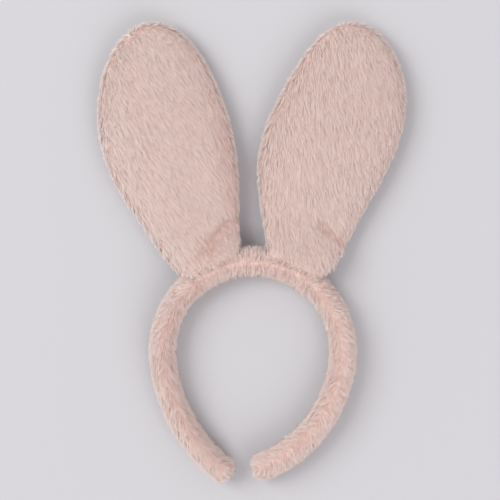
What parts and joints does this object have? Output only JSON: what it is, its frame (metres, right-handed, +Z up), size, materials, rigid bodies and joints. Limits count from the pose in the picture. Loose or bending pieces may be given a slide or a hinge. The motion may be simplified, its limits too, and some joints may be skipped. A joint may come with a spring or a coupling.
{
  "type": "animal ears headband",
  "caption": "Plush bunny ears headband: a sprung band in a padded, pale pink faux fur sleeve with long stuffed, wired ears sewn to its crown.",
  "frame": {"origin": "middle of the whole part's footprint, on the surface it lies on", "axes": "+Y towards the tips of the ears (up when worn), +Z up from the surface it lies on, +X to the right"},
  "size_m": [0.2242, 0.3518, 0.0256],
  "materials": {
    "ear_fur": "short plush faux fur, pale pink",
    "sleeve_fur": "short plush faux fur, pale pink",
    "stuffing": "loose polyester fibre fill",
    "foam": "soft open-cell foam",
    "strip": "plain moulded plastic strip",
    "wire": "plastic-coated soft steel wire",
    "thread": "pink polyester sewing thread"
  },
  "bodies": {
    "crown": {"band_core_crown": "strip", "band_padding_crown": "foam", "band_sleeve_crown": "sleeve_fur", "sleeve_seam_crown": "thread", "root_stitches_left": "thread", "root_stitches_right": "thread"},
    "arm_left": {"band_core_arm_left": "strip", "band_padding_arm_left": "foam", "band_sleeve_arm_left": "sleeve_fur", "sleeve_seam_arm_left": "thread", "end_stitches_left": "thread"},
    "ear_left": {"ear_front_panel_left": "ear_fur", "ear_back_panel_left": "ear_fur", "ear_stuffing_left": "stuffing", "ear_wire_left": "wire", "ear_seam_left": "thread"},
    "arm_right": {"band_core_arm_right": "strip", "band_padding_arm_right": "foam", "band_sleeve_arm_right": "sleeve_fur", "sleeve_seam_arm_right": "thread", "end_stitches_right": "thread"},
    "ear_right": {"ear_front_panel_right": "ear_fur", "ear_back_panel_right": "ear_fur", "ear_stuffing_right": "stuffing", "ear_wire_right": "wire", "ear_seam_right": "thread"}
  },
  "joints": [
    {"name": "arm_spread_left", "type": "hinge", "parent": "crown", "child": "arm_left", "pos_m": [-0.05924, -0.04102, 0.0124], "axis": [0, 0, -1], "range_deg": [-2, 25], "stiffness_Nm_per_rad": 0.7},
    {"name": "arm_spread_right", "type": "hinge", "parent": "crown", "child": "arm_right", "pos_m": [0.05924, -0.04102, 0.0124], "axis": [0, 0, 1], "range_deg": [-2, 25], "stiffness_Nm_per_rad": 0.7},
    {"name": "ear_fold_left", "type": "hinge", "parent": "crown", "child": "ear_left", "pos_m": [-0.03745, 0.0033, 0.0124], "axis": [0.9026, 0.4305, 0], "range_deg": [0, 35]},
    {"name": "ear_fold_right", "type": "hinge", "parent": "crown", "child": "ear_right", "pos_m": [0.03745, 0.0033, 0.0124], "axis": [0.9026, -0.4305, 0], "range_deg": [0, 35]}
  ]
}
